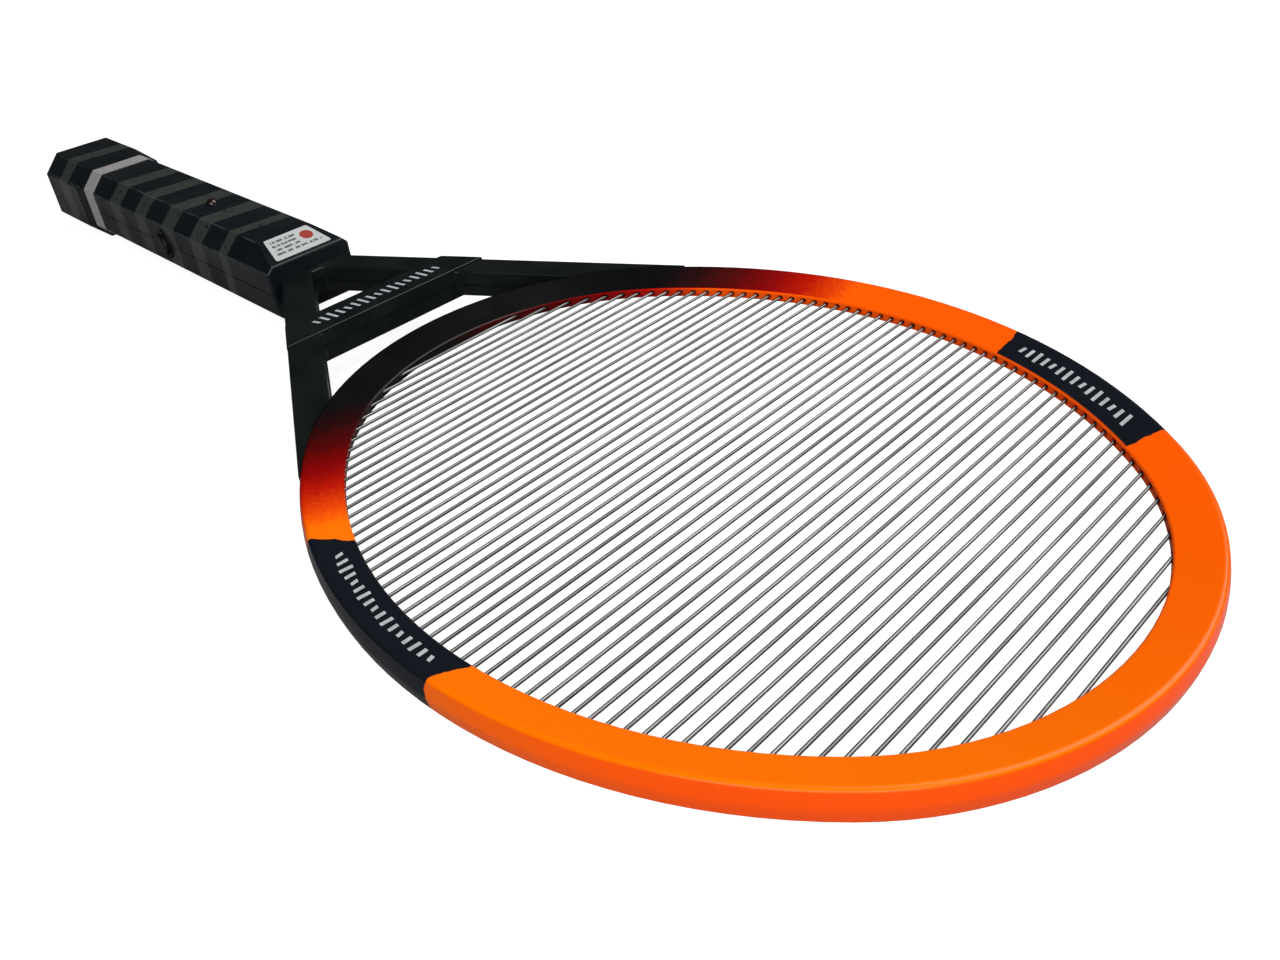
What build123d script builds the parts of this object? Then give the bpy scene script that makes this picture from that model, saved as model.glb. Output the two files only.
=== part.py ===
from build123d import *
import math
import os

os.makedirs("parts", exist_ok=True)

# Electric fly swatter, millimetres. X runs along the racket from the butt of the handle
# to the tip of the hoop, Y across the face and Z through the thickness. Pieces are drawn
# about the middle plane of the wires and lifted by MID when they are written, so that
# the origin is under the middle of the racket, on the surface that it rests on.

# ---- hoop ----
OVERALL_LENGTH = 536.0
OPENING_HALF_LENGTH = 119.1
OPENING_HALF_WIDTH = 97.5
END_RADIUS = 85.0            # radius of the opening's two end arcs
RIM_WIDTH = 12.5             # from the opening to the outer wall's fullest line
RIM_SHOULDER = 11.3          # from the opening to the shoulder edge
LIP_HALF = 1.6               # half height of the thin inner lip
SHOULDER_HALF = 5.1          # half height at the outer shoulder
SHOULDER_ROUND = 0.9
CHANNEL_START = 4.0          # hollow inside the rim, measured from the opening
CHANNEL_END = 8.6
CHANNEL_UP = 1.5
CHANNEL_DOWN = 2.0

# ---- grid ----
WIRE_COUNT = 59
WIRE_PITCH = 4.0
WIRE_DIAMETER = 1.0
WIRE_HOLE = 1.1
EYELET = 2.1                 # wider mouth of each wire's hole, in the lip
EYELET_DEPTH = 1.4
WIRE_JOINED_END = 6.0        # how far a wire runs into the rim where it is joined
WIRE_FREE_END = 3.0          # and where it is only held
BUS_START = 4.6
BUS_END = 7.8
BUS_THICK = 0.7

# ---- handle ----
FLAT_HALF = 11.55            # half of the flat on top
SIDE_HALF = 8.6              # half of the upright side face
CHAMFER = 6.8
HANDLE_ROUND = 1.1           # rounding of the eight long edges
HANDLE_WALL = 2.0
SEAM_NOTCH = 0.3             # depth of the fine shadow line where the halves meet
SEAM_HALF = 0.22             # half of its height
HANDLE_FRONT = -70.0
HANDLE_BACK = -221.0
BEVEL_LENGTH = 14.7
BEVEL_DROP = 4.6
FRONT_WALL = 3.0
NECK_BACK = -246.0
NECK_SHRINK = 1.0
NOSE_HALF_WIDTH = 14.0       # hollow behind the front wall that takes the throat's tenon
NOSE_HALF_HEIGHT = 6.5

# ---- silver band and end cap ----
BAND_BACK = -230.0
BAND_GROW = 0.25
CAP_GROW = 1.9
CAP_FRONT = -230.4
CAP_BEVEL = 4.0
CAP_GAP = 0.3
CAP_END_WALL = 2.0
CAP_MOUTH_GROW = 0.6
PLATE_THICK = 0.4

# ---- throat ----
ARM_ANGLE = 29.8
ARM_WIDTH = 11.5
ARM_OUTER_AT_FRONT = 13.6    # half width over both arms at the handle's front face
ARM_REACH = 50.0             # where the tapering arms run out along the hoop
BAR_BACK = -33.0
BAR_FRONT = -18.5
BAR_RISE = 0.8
ARM_ROUND = 0.8
GROOVE_DEPTH = 0.5
GROOVE_HEIGHT = 1.6
TENON_BACK = -84.0
TENON_HALF_WIDTH = 12.8
TENON_HALF_HEIGHT = 4.6
LEAD_CHANNEL = 3.0

# ---- batteries ----
CELL_DIAMETER = 26.2
CELL_LENGTH = 50.0
CELL_BACK = -262.0
CAN_LENGTH = 48.2
NUB_DIAMETER = 6.6

# ---- electronics ----
BOARD_BACK = -143.0
BOARD_FRONT = -95.0
BOARD_HALF = 12.5
BOARD_TOP = -3.4
BOARD_THICK = 1.6
BUTTON_X = -157.0
BUTTON_RADIUS = 4.5
BUTTON_TRAVEL = 1.5
BUTTON_GAP = 0.25            # all round, inside its bezel
SWITCH_FRONT = -12.2         # the switch's face, toward the button
SWITCH_BORE = 1.7
LED_X = -141.0
LED_RADIUS = 2.5
LEAD_DIAMETER = 1.4
LEAD_RISE = 0.25             # height of the high voltage leads above the middle plane
LEAD_END_X = 46.0
TRANSFORMER_X = -120.0
CAPACITOR_X = -105.0
DISC_Y = 9.6
TRANSISTOR_SPOT = (-133.0, 6.5)
RESISTOR_X = -138.0
BUTTON_PROUD = 2.2
STICKER_THICK = 0.15
LEG_RADIUS = 0.25            # legs of the parts on the board
LEG_PITCH = 1.27

# ---- screws ----
SCREW_SPOTS = [(-150.0, 9.0), (-89.0, 9.6), (-89.0, -9.6)]
BAR_SCREW_SPOTS = [(-25.75, 16.0), (-25.75, -16.0)]
SCREW_RADIUS = 1.15
SCREW_HEAD_RADIUS = 2.2
SCREW_HEAD_HEIGHT = 1.8
BOSS_RADIUS = 3.4

# ---- values that follow from those above ----
HALF_HEIGHT = SIDE_HALF + CHAMFER
HALF_WIDTH = FLAT_HALF + CHAMFER
BUTT = -OVERALL_LENGTH / 2
MID = HALF_HEIGHT + CAP_GROW
HOOP_X = OVERALL_LENGTH / 2 - OPENING_HALF_LENGTH - RIM_WIDTH
END_CENTRE = OPENING_HALF_LENGTH - END_RADIUS
SIDE_RADIUS = (
    (OPENING_HALF_LENGTH**2 + OPENING_HALF_WIDTH**2 - 2 * OPENING_HALF_LENGTH * END_RADIUS)
    / (2 * (OPENING_HALF_WIDTH - END_RADIUS))
)
SIDE_CENTRE = SIDE_RADIUS - OPENING_HALF_WIDTH
ARC_SPLIT = math.degrees(math.atan2(SIDE_CENTRE, END_CENTRE))
ARM_SLOPE = math.tan(math.radians(ARM_ANGLE))
ARM_ACROSS = ARM_WIDTH / math.cos(math.radians(ARM_ANGLE))
CELL_FRONT = CELL_BACK + 2 * CELL_LENGTH
STEM_END = SWITCH_FRONT - BUTTON_TRAVEL - 0.3
PLUNGER_END = SWITCH_FRONT + 2.0


def save(name, shape):
    """Lift a piece onto the resting surface and write it as one node."""
    export_step(Pos(0, 0, MID) * shape, f"parts/{name}.step")


def box_between(x0, x1, y0, y1, z0, z1):
    """A box given by its limits."""
    return Pos((x0 + x1) / 2, (y0 + y1) / 2, (z0 + z1) / 2) * Box(x1 - x0, y1 - y0, z1 - z0)


def rod_z(x, y, z0, z1, radius):
    """An upright round bar."""
    return Pos(x, y, (z0 + z1) / 2) * Cylinder(radius, z1 - z0)


def rod_x(x0, x1, y, z, radius):
    """A round bar along X."""
    return Pos((x0 + x1) / 2, y, z) * Rot(0, 90, 0) * Cylinder(radius, x1 - x0)


def rod_y(x, y0, y1, z, radius):
    """A round bar along Y."""
    return Pos(x, (y0 + y1) / 2, z) * Rot(90, 0, 0) * Cylinder(radius, y1 - y0)


# ---------------------------------------------------------------- the hoop
def oval_half_width(x, offset):
    """Half width at x of the opening's outline grown by offset, x from the hoop's middle."""
    along = abs(x)
    if along > junction_x(offset):
        reach = (END_RADIUS + offset) ** 2 - (along - END_CENTRE) ** 2
        return math.sqrt(max(reach, 0.0))
    return math.sqrt((SIDE_RADIUS + offset) ** 2 - along**2) - SIDE_CENTRE


def junction_x(offset):
    """Where the side arc of the grown outline meets its end arc."""
    return END_CENTRE + (END_RADIUS + offset) * math.cos(math.radians(ARC_SPLIT))


def turn_profile(profile, centre_x, centre_y, radius, start, sweep):
    """Turn a rim profile (distance from the opening, height) about one arc's centre."""
    face = Pos(radius, 0, 0) * Rot(90, 0, 0) * profile
    face = Rot(0, 0, start) * face
    ring = revolve(face, Axis.Z, sweep)
    return Pos(HOOP_X + centre_x, centre_y, 0) * ring


def around_oval(profile):
    """Carry a rim profile round the whole oval, one arc at a time."""
    return upper_half(profile) + lower_half(profile)


def upper_half(profile, end_start=0.0):
    """The +Y half of the oval, which may stop short of the middle line by end_start degrees."""
    end_sweep = ARC_SPLIT - end_start
    front = turn_profile(profile, END_CENTRE, 0, END_RADIUS, end_start, end_sweep)
    side = turn_profile(profile, 0, -SIDE_CENTRE, SIDE_RADIUS, ARC_SPLIT, 180 - 2 * ARC_SPLIT)
    back = turn_profile(profile, -END_CENTRE, 0, END_RADIUS, 180 - ARC_SPLIT, end_sweep)
    return front + side + back


def lower_half(profile, end_start=0.0):
    """The -Y half of the oval."""
    return mirror(upper_half(profile, end_start), Plane.XZ)


def rim_profile():
    """Upper half of the rim: thin lip, face rising outward, rounded shoulder, full outer wall."""
    wall_top = SHOULDER_HALF - SHOULDER_ROUND
    lip = Line((0, 0), (0, LIP_HALF - 0.4))
    lip_round = Line(lip @ 1, (0.4, LIP_HALF))
    face = Line(lip_round @ 1, (RIM_SHOULDER - SHOULDER_ROUND * 1.3, SHOULDER_HALF - 0.22))
    shoulder = Spline(
        [face @ 1, (RIM_SHOULDER - 0.25, SHOULDER_HALF - 0.22), (RIM_SHOULDER + 0.45, wall_top)],
        tangents=[face % 1, (0.25, -1)],
    )
    wall = ThreePointArc(shoulder @ 1, (RIM_WIDTH - 0.22, wall_top * 0.45), (RIM_WIDTH, 0))
    base = Line(wall @ 1, (0, 0))
    return make_face([lip, lip_round, face, shoulder, wall, base])


def hoop_half(up):
    """One moulded half of the hoop, hollowed for the bus strips and drilled for the wires."""
    depth = CHANNEL_UP if up else CHANNEL_DOWN
    middle = (CHANNEL_START + CHANNEL_END) / 2
    channel = Pos(middle, depth / 2) * Rectangle(CHANNEL_END - CHANNEL_START, depth)
    half = around_oval(rim_profile() - channel)
    return half if up else mirror(half, Plane.XY)


def wire_positions():
    """Places of the wires along the hoop, measured from its middle."""
    first = -(WIRE_COUNT - 1) / 2 * WIRE_PITCH
    return [first + i * WIRE_PITCH for i in range(WIRE_COUNT)]


def wire_rods(diameter, toward_far, toward_near, wanted=None):
    """Straight rods across the hoop; the two numbers are how far they run into the rim."""
    rods = []
    for i, x in enumerate(wire_positions()):
        if wanted is not None and i % 2 != wanted:
            continue
        y1 = oval_half_width(x, toward_far)
        y0 = -oval_half_width(x, toward_near)
        rods.append(rod_y(HOOP_X + x, y0, y1, 0, diameter / 2))
    return rods


def bus_strip(far):
    """Flat conductor in the rim's hollow, under the ends of one set of wires."""
    z_top = -WIRE_DIAMETER / 2
    middle = ((BUS_START + BUS_END) / 2, z_top - BUS_THICK / 2)
    profile = Pos(*middle) * Rectangle(BUS_END - BUS_START, BUS_THICK)
    strip = upper_half(profile, 5.0)
    return strip if far else mirror(strip, Plane.XZ)


# ---------------------------------------------------------------- the throat
def arm_outer(x):
    """Half width over the arms at x."""
    return ARM_OUTER_AT_FRONT + ARM_SLOPE * (x - HANDLE_FRONT)


def arm_inner(x):
    """Half of the gap between the arms at x."""
    return arm_outer(x) - ARM_ACROSS


def throat_outline():
    """Plan of both arms, with the gap next to the handle cut out of it."""
    back, front = HANDLE_FRONT, ARM_REACH + 25
    wedge = make_face(Polyline(
        (back, arm_outer(back)), (front, arm_outer(front)),
        (front, -arm_outer(front)), (back, -arm_outer(back)), close=True))
    gap_back = HANDLE_FRONT + 4
    gap = make_face(Polyline(
        (gap_back, arm_inner(gap_back)), (BAR_BACK, arm_inner(BAR_BACK)),
        (BAR_BACK, -arm_inner(BAR_BACK)), (gap_back, -arm_inner(gap_back)), close=True))
    crescent = make_face(Polyline(
        (BAR_FRONT, arm_inner(BAR_FRONT)), (front, arm_inner(front)),
        (front, -arm_inner(front)), (BAR_FRONT, -arm_inner(BAR_FRONT)), close=True))
    gap = fillet(gap.vertices(), 1.5)
    crescent = fillet(crescent.vertices(), 3.0)
    return wedge - gap - crescent


def crossbar_plan():
    """Plan of the raised crossbar between the outer edges of the arms."""
    return make_face(Polyline(
        (BAR_BACK, arm_outer(BAR_BACK)), (BAR_FRONT, arm_outer(BAR_FRONT)),
        (BAR_FRONT, -arm_outer(BAR_FRONT)), (BAR_BACK, -arm_outer(BAR_BACK)), close=True))


def arm_channel(side):
    """Hollow along one arm for its high voltage lead."""
    start_x = TENON_BACK - 1
    inner_y = arm_outer(HANDLE_FRONT) - ARM_ACROSS / 2
    length = 150.0
    bore = Box(length, LEAD_CHANNEL, 2.6, align=(Align.MIN, Align.CENTER, Align.CENTER))
    slanted = Pos(HANDLE_FRONT - 2, side * (inner_y - 2 * ARM_SLOPE), 0)
    slanted = slanted * Rot(0, 0, side * ARM_ANGLE) * bore
    y0, y1 = sorted((side * (inner_y - 4.8), side * (inner_y + 1.5)))
    tail = box_between(start_x, HANDLE_FRONT, y0, y1, -1.3, 1.3)
    return slanted, tail


def arm_grooves(plan):
    """Shallow parting groove round the side walls of the arms."""
    inner = offset(plan, -GROOVE_DEPTH)
    wall = extrude(plan - inner, GROOVE_HEIGHT)
    return Pos(0, 0, -GROOVE_HEIGHT / 2) * wall


def throat_body(rim):
    """Both halves of the throat as one block: arms, crossbar and the tenon in the handle."""
    plan = throat_outline()
    arms = extrude(Pos(0, 0, -SHOULDER_HALF) * plan, 2 * SHOULDER_HALF)
    rims = arms.edges().filter_by_position(Axis.Z, SHOULDER_HALF - 0.01, SHOULDER_HALF + 0.01)
    rims += arms.edges().filter_by_position(Axis.Z, -SHOULDER_HALF - 0.01, -SHOULDER_HALF + 0.01)
    arms = fillet(rims, ARM_ROUND)
    bar_half = SHOULDER_HALF + BAR_RISE
    bar = extrude(Pos(0, 0, -bar_half) * crossbar_plan(), 2 * bar_half)
    tops = bar.edges().filter_by_position(Axis.Z, bar_half - 0.01, bar_half + 0.01)
    tops += bar.edges().filter_by_position(Axis.Z, -bar_half - 0.01, -bar_half + 0.01)
    bar = fillet(tops, 0.5)
    tenon = box_between(TENON_BACK, HANDLE_FRONT + 1, -TENON_HALF_WIDTH, TENON_HALF_WIDTH,
                        -TENON_HALF_HEIGHT, TENON_HALF_HEIGHT)
    block = arms + bar + tenon - arm_grooves(plan)
    block -= box_between(ARM_REACH, ARM_REACH + 80, -150, 150, -10, 10)
    block -= rim
    block -= around_oval(Pos((RIM_SHOULDER - 40) / 2, 0) * Rectangle(RIM_SHOULDER + 40, 20))
    keep = sorted(block.solids(), key=lambda piece: piece.volume)[-1]
    for side in (1, -1):
        slanted, tail = arm_channel(side)
        keep -= slanted
        keep -= tail
    return keep


def throat_half(block, up):
    """One moulded half of the throat, with its bosses for the two throat screws."""
    z0, z1 = (0.0, 20.0) if up else (-20.0, 0.0)
    half = block & box_between(-120, 120, -150, 150, z0, z1)
    for x, y in BAR_SCREW_SPOTS:
        half -= rod_z(x, y, -20, 3.9, SCREW_RADIUS + 0.05)
        if not up:
            half -= rod_z(x, y, -20, -SHOULDER_HALF - BAR_RISE + SCREW_HEAD_HEIGHT, SCREW_HEAD_RADIUS + 0.1)
    return half


# ---------------------------------------------------------------- the handle
def octagon(grow=0.0, rounding=0.0):
    """The handle's section grown outward evenly."""
    corner = grow * math.tan(math.radians(22.5))
    flat, side = FLAT_HALF + corner, SIDE_HALF + corner
    high, wide = HALF_HEIGHT + grow, HALF_WIDTH + grow
    corners = [(flat, high), (wide, side), (wide, -side), (flat, -high)]
    corners += [(-y, -z) for y, z in corners]
    face = make_face(Polyline(*corners, close=True))
    return fillet(face.vertices(), rounding) if rounding else face


def octagon_bar(x0, x1, grow=0.0, rounding=0.0):
    """A length of the handle's section along X."""
    plane = Plane(origin=(x0, 0, 0), x_dir=(0, 1, 0), z_dir=(1, 0, 0))
    return extrude(plane * octagon(grow, rounding), x1 - x0)


def bevel_cutter(sign):
    """Wedge that takes the slope off the top or the bottom of the handle's front end."""
    outline = Polyline(
        (HANDLE_FRONT - BEVEL_LENGTH, sign * HALF_HEIGHT),
        (HANDLE_FRONT + 1, sign * (HALF_HEIGHT - BEVEL_DROP * (1 + 1 / BEVEL_LENGTH))),
        (HANDLE_FRONT + 1, sign * (HALF_HEIGHT + 5)),
        (HANDLE_FRONT - BEVEL_LENGTH, sign * (HALF_HEIGHT + 5)), close=True)
    wedge = extrude(Plane.XZ * make_face(outline), 60)
    return Pos(0, 30, 0) * wedge


def handle_block():
    """Solid outside of the handle and its neck, before it is hollowed and split."""
    body = octagon_bar(HANDLE_BACK, HANDLE_FRONT, 0.0, HANDLE_ROUND)
    body -= bevel_cutter(1)
    body -= bevel_cutter(-1)
    nose = body.faces().sort_by(Axis.X)[-1]
    body = fillet(nose.edges(), 1.2)
    neck = octagon_bar(NECK_BACK, HANDLE_BACK + 1, -NECK_SHRINK, HANDLE_ROUND)
    around = box_between(HANDLE_BACK + 0.5, HANDLE_FRONT + 1, -30, 30, -SEAM_HALF, SEAM_HALF)
    inside = octagon_bar(HANDLE_BACK - 1, HANDLE_FRONT - SEAM_NOTCH, -SEAM_NOTCH)
    return body + neck - (around - inside)


def handle_hollow():
    """Everything that is empty inside the handle."""
    main = octagon_bar(NECK_BACK - 1, HANDLE_FRONT - BEVEL_LENGTH - 0.5, -HANDLE_WALL)
    nose = box_between(HANDLE_FRONT - BEVEL_LENGTH - 1, HANDLE_FRONT - FRONT_WALL,
                       -NOSE_HALF_WIDTH, NOSE_HALF_WIDTH, -NOSE_HALF_HEIGHT, NOSE_HALF_HEIGHT)
    mouth = box_between(HANDLE_FRONT - FRONT_WALL - 1, HANDLE_FRONT + 1,
                        -TENON_HALF_WIDTH - 0.1, TENON_HALF_WIDTH + 0.1,
                        -TENON_HALF_HEIGHT - 0.1, TENON_HALF_HEIGHT + 0.1)
    button_hole = rod_y(BUTTON_X, -HALF_WIDTH - 2, -HALF_WIDTH + HANDLE_WALL + 1, 0, 5.6)
    led_hole = rod_z(LED_X, 0, HALF_HEIGHT - HANDLE_WALL - 1, HALF_HEIGHT + 2, LED_RADIUS + 0.1)
    return main + nose + mouth + button_hole + led_hole


def handle_half(block, hollow, up):
    """One moulded half of the handle with its screw bosses and board ribs."""
    z0, z1 = (0.0, 30.0) if up else (-30.0, 0.0)
    half = (block - hollow) & box_between(-300, 0, -40, 40, z0, z1)
    inner = HALF_HEIGHT - HANDLE_WALL + 0.5
    for x, y in SCREW_SPOTS:
        if up:
            half += rod_z(x, y, 0, inner, BOSS_RADIUS)
            half -= rod_z(x, y, -1, 9.0, SCREW_RADIUS + 0.05)
        else:
            half += rod_z(x, y, -inner, 0, BOSS_RADIUS)
            half -= rod_z(x, y, -20, 1, SCREW_RADIUS + 0.05)
            head_top = -HALF_HEIGHT + 1.2 + SCREW_HEAD_HEIGHT
            half -= rod_z(x, y, -20, head_top, SCREW_HEAD_RADIUS + 0.15)
    if not up:
        for x in (BOARD_BACK + 8, BOARD_FRONT - 8):
            half += box_between(x - 0.8, x + 0.8, -10, 10, -inner, BOARD_TOP - BOARD_THICK)
    return half


def silver_band():
    """Thin eight sided ring that hides the joint between the handle and its cap."""
    ring = octagon_bar(BAND_BACK, HANDLE_BACK - 0.05, BAND_GROW, HANDLE_ROUND)
    ring -= octagon_bar(BAND_BACK - 1, HANDLE_BACK + 1, 0.05 - NECK_SHRINK, HANDLE_ROUND)
    return ring


def octagon_at(x, grow):
    """The grown section as a flat face across the handle at x."""
    plane = Plane(origin=(x, 0, 0), x_dir=(0, 1, 0), z_dir=(1, 0, 0))
    return plane * octagon(grow)


def end_cap():
    """Battery cap: a wider eight sided cup that pushes over the neck."""
    shoulder_x = CAP_FRONT - CAP_BEVEL
    cup = octagon_bar(BUTT, shoulder_x, CAP_GROW)
    back = cup.faces().sort_by(Axis.X)[0]
    cup = fillet(back.edges(), 1.6)
    cup += loft([octagon_at(shoulder_x, CAP_GROW), octagon_at(CAP_FRONT, CAP_MOUTH_GROW)])
    skirt = octagon_bar(NECK_BACK - CAP_GAP, CAP_FRONT + 1, CAP_GAP - NECK_SHRINK, HANDLE_ROUND)
    pocket = rod_x(BUTT + CAP_END_WALL, NECK_BACK, 0, 0, CELL_DIAMETER / 2 + 0.5)
    return cup - skirt - pocket


# ---------------------------------------------------------------- the power side
def battery_cell(back):
    """One C cell: steel can with its raised positive nub toward the hoop."""
    can = rod_x(back, back + CAN_LENGTH, 0, 0, CELL_DIAMETER / 2)
    can = fillet(can.edges(), 0.8)
    return can + rod_x(back + CAN_LENGTH, back + CELL_LENGTH, 0, 0, NUB_DIAMETER / 2)


def cap_spring():
    """Conical contact spring between the cap's plate and the rear cell."""
    start = BUTT + CAP_END_WALL + PLATE_THICK
    height = CELL_BACK - start
    coil = Helix(pitch=height / 2.2, height=height - 0.9, radius=5.5, cone_angle=-30)
    wire = Plane(origin=coil @ 0, z_dir=coil % 0) * Circle(0.35)
    spring = sweep(wire, path=coil, is_frenet=True)
    return Pos(start + 0.4, 0, 0) * Rot(0, 90, 0) * spring


def lead(points, radii, diameter):
    """An insulated wire along straight runs joined by arcs."""
    path = FilletPolyline(*points, radius=radii)
    section = Plane(origin=path @ 0, z_dir=path % 0) * Circle(diameter / 2)
    return sweep(section, path=path)


def arm_lead(side):
    """High voltage lead from the board, through one arm, to its bus strip."""
    line_y = arm_outer(HANDLE_FRONT) - ARM_ACROSS / 2
    end_x = LEAD_END_X
    end_y = line_y + ARM_SLOPE * (end_x - HANDLE_FRONT)
    points = [
        (BOARD_FRONT - 4, side * 3.2, BOARD_TOP + 2.2),
        (TENON_BACK - 2, side * 3.2, LEAD_RISE),
        (HANDLE_FRONT - 6, side * (line_y - 6 * ARM_SLOPE + 1.2), LEAD_RISE),
        (HANDLE_FRONT + 6, side * (line_y + 6 * ARM_SLOPE), LEAD_RISE),
        (end_x, side * end_y, LEAD_RISE),
    ]
    return lead(points, 4.0, LEAD_DIAMETER)


def cell_lead():
    """Lead along the handle's lower corner from the rear contact to the board."""
    corner = 10.75
    points = [
        (NECK_BACK + 1, -corner, -corner),
        (CELL_FRONT + 1, -corner, -corner),
        (BOARD_BACK - 4, -corner + 2, -corner + 1.5),
        (BOARD_BACK + 1, -corner + 3.5, BOARD_TOP - BOARD_THICK - 1.0),
    ]
    return lead(points, 2.0, 1.6)


# ---------------------------------------------------------------- the circuit board
def circuit_board():
    """Board with a notch round the rear screw boss and a tongue for the switch."""
    z0 = BOARD_TOP - BOARD_THICK
    board = box_between(BOARD_BACK, BOARD_FRONT, -BOARD_HALF, BOARD_HALF, z0, BOARD_TOP)
    board += box_between(CELL_FRONT + 1.6, BOARD_BACK, -BOARD_HALF, 1.0, z0, BOARD_TOP)
    return board


def transformer_core():
    """Two facing E shaped ferrites, drawn as one block with two windows."""
    x, z = TRANSFORMER_X, BOARD_TOP + 7.6
    core = box_between(x - 9, x + 9, -3, 3, z - 7.5, z + 7.5)
    for side in (1, -1):
        centre = x + side * 4.75
        core -= box_between(centre - 2.0, centre + 2.0, -4, 4, z - 5, z + 5)
    return core


def transformer_coil():
    """Winding on its bobbin round the middle leg."""
    x, z = TRANSFORMER_X, BOARD_TOP + 7.6
    coil = box_between(x - 6.6, x + 6.6, -6.5, 6.5, z - 4.8, z + 4.8)
    coil = fillet(coil.edges().filter_by(Axis.Z), 1.5)
    coil -= box_between(x - 2.85, x + 2.85, -3.1, 3.1, z - 6, z + 6)
    for side in (1, -1):
        coil -= box_between(x + side * 6.65 - 0.1, x + side * 6.65 + 0.1, -3.1, 3.1, z - 6, z + 6)
    return coil


def storage_capacitor():
    """Film capacitor that holds the grid's charge."""
    x = CAPACITOR_X
    case = box_between(x - 4.5, x + 4.5, -5.8, 5.8, BOARD_TOP + 0.1, BOARD_TOP + 12)
    return fillet(case.edges().filter_by(Axis.Z), 1.0)


def multiplier_capacitors():
    """Two ceramic discs standing on the board."""
    discs = []
    for y in (-DISC_Y, DISC_Y):
        body = rod_y(TRANSFORMER_X, y - 1.3, y + 1.3, BOARD_TOP + 5.6, 4.1)
        legs = [rod_z(TRANSFORMER_X + side * LEG_PITCH, y, BOARD_TOP, BOARD_TOP + 4, LEG_RADIUS)
                for side in (1, -1)]
        discs.append(body + legs)
    return discs


def axial_part(x, y, length, radius):
    """A small cylinder lying along Y with its two legs bent down to the board."""
    z = BOARD_TOP + radius + 0.3
    reach = length / 2 + 1.2
    body = rod_y(x, y - length / 2, y + length / 2, z, radius)
    body += rod_y(x, y - reach - 0.4, y + reach + 0.4, z, LEG_RADIUS + 0.07)
    legs = [rod_z(x, y + side * reach, BOARD_TOP, z, LEG_RADIUS) for side in (1, -1)]
    return body + legs


def transistor():
    """Switching transistor: a flat sided drum on three legs."""
    x, y, z = TRANSISTOR_SPOT[0], TRANSISTOR_SPOT[1], BOARD_TOP + 2.0
    drum = rod_z(x, y, z, z + 4.8, 2.4) - box_between(x - 4, x - 1.3, y - 4, y + 4, z - 1, z + 6)
    legs = [rod_z(x, y + step * LEG_PITCH, BOARD_TOP, z + 1, LEG_RADIUS) for step in (-1, 0, 1)]
    return drum + legs


def status_light():
    """Round five millimetre lamp that looks out through the top of the handle."""
    top = HALF_HEIGHT - 0.6
    bottom = top - 6.6
    lamp = rod_z(LED_X, 0, bottom, top, LED_RADIUS)
    lamp += Pos(LED_X, 0, top) * Sphere(LED_RADIUS)
    lamp += rod_z(LED_X, 0, bottom, bottom + 1.0, LED_RADIUS + 0.4)
    legs = [rod_z(LED_X, side * LEG_PITCH, BOARD_TOP, bottom + 1, LEG_RADIUS) for side in (1, -1)]
    return lamp + legs


# ---------------------------------------------------------------- the switch and its button
def switch_body():
    """Momentary switch on the board's tongue, opened for its plunger."""
    half = 3.2
    back = SWITCH_FRONT + 6.0
    body = box_between(BUTTON_X - half, BUTTON_X + half, SWITCH_FRONT, back, BOARD_TOP, 3.4)
    bore_end = PLUNGER_END + BUTTON_TRAVEL + 0.3
    return body - rod_y(BUTTON_X, SWITCH_FRONT - 1, bore_end, 0, SWITCH_BORE)


def switch_plunger():
    """Short pin of the switch that the button pushes."""
    return rod_y(BUTTON_X, STEM_END, PLUNGER_END, 0, SWITCH_BORE - 0.2)


def push_button():
    """Round domed button with a keeper flange behind the wall."""
    face_y = -HALF_WIDTH - BUTTON_PROUD
    inner = -HALF_WIDTH + HANDLE_WALL + 0.35
    body = rod_y(BUTTON_X, face_y, inner, 0, BUTTON_RADIUS)
    outer_edge = body.edges().sort_by(Axis.Y)[0]
    body = fillet(outer_edge, 1.1)
    body += rod_y(BUTTON_X, inner, inner + 1.1, 0, BUTTON_RADIUS + 0.9)
    return body + rod_y(BUTTON_X, inner + 1.1, STEM_END, 0, 2.0)


def button_bezel():
    """Thin collar pressed into the handle's side round the button."""
    collar = rod_y(BUTTON_X, -HALF_WIDTH - 0.7, -HALF_WIDTH + HANDLE_WALL, 0, 5.5)
    collar += rod_y(BUTTON_X, -HALF_WIDTH - 0.7, -HALF_WIDTH, 0, 6.3)
    collar = fillet(collar.edges().sort_by(Axis.Y)[0], 0.3)
    return collar - rod_y(BUTTON_X, -HALF_WIDTH - 2, -HALF_WIDTH + 4, 0, BUTTON_RADIUS + BUTTON_GAP)


# ---------------------------------------------------------------- fasteners and label
def screw(x, y, seat, tip):
    """Pan head screw driven upward, with a cross recess in its head."""
    head = rod_z(x, y, seat - SCREW_HEAD_HEIGHT, seat, SCREW_HEAD_RADIUS)
    head = fillet(head.edges().sort_by(Axis.Z)[0], 0.7)
    low = seat - SCREW_HEAD_HEIGHT
    head -= box_between(x - 1.5, x + 1.5, y - 0.3, y + 0.3, low - 1, low + 0.9)
    head -= box_between(x - 0.3, x + 0.3, y - 1.5, y + 1.5, low - 1, low + 0.9)
    return head + rod_z(x, y, seat, tip, SCREW_RADIUS)


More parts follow.
